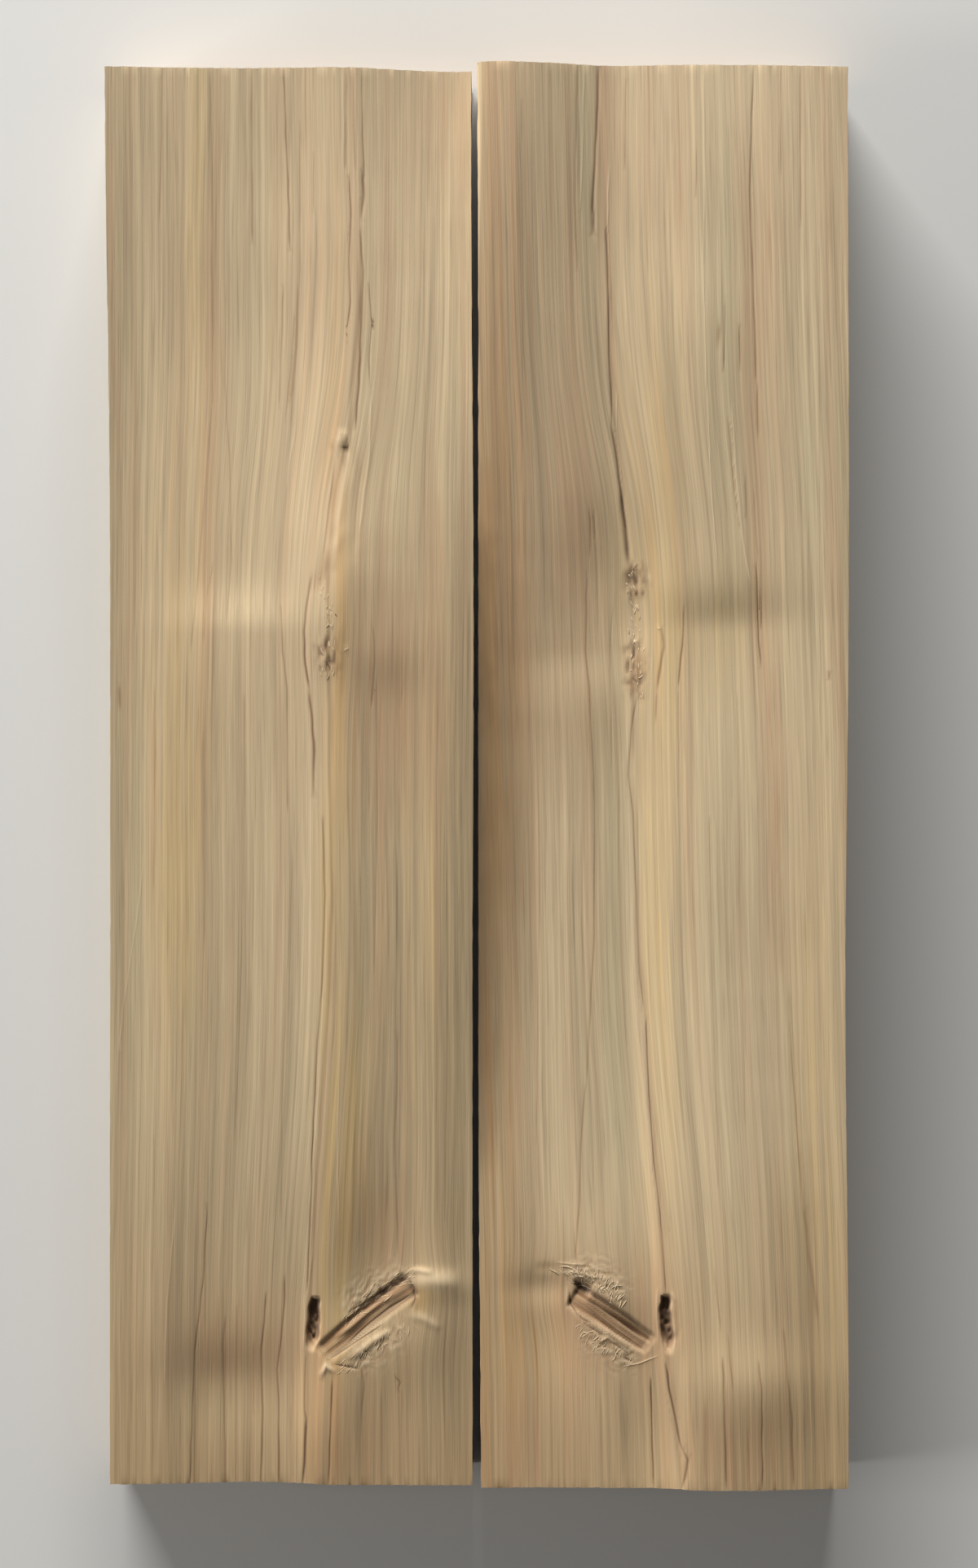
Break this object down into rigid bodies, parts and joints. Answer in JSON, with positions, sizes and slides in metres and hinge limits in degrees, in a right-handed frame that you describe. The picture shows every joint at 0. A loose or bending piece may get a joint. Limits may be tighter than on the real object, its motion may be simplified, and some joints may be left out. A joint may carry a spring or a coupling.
{
  "type": "pair of wooden planks",
  "caption": "Thick wooden planks from one split log, laid side by side like an open book, with wavy natural split faces, knots and flat sawn backs, as a wall panel or bench top.",
  "frame": {"origin": "middle of the pair, on the plane of the flat sawn backs", "axes": "+X to the right across both planks, +Y along the planks to the end with the chipped corner, +Z out of the split faces"},
  "size_m": [0.5478, 1.0464, 0.0732],
  "materials": {
    "split_wood_left": "raw split wood, unvarnished, with a slight sheen along the grain",
    "split_wood_right": "raw split wood, unvarnished, with a slight sheen along the grain"
  },
  "bodies": {
    "root": {"plank_left": "split_wood_left", "plank_right": "split_wood_right"}
  },
  "joints": []
}
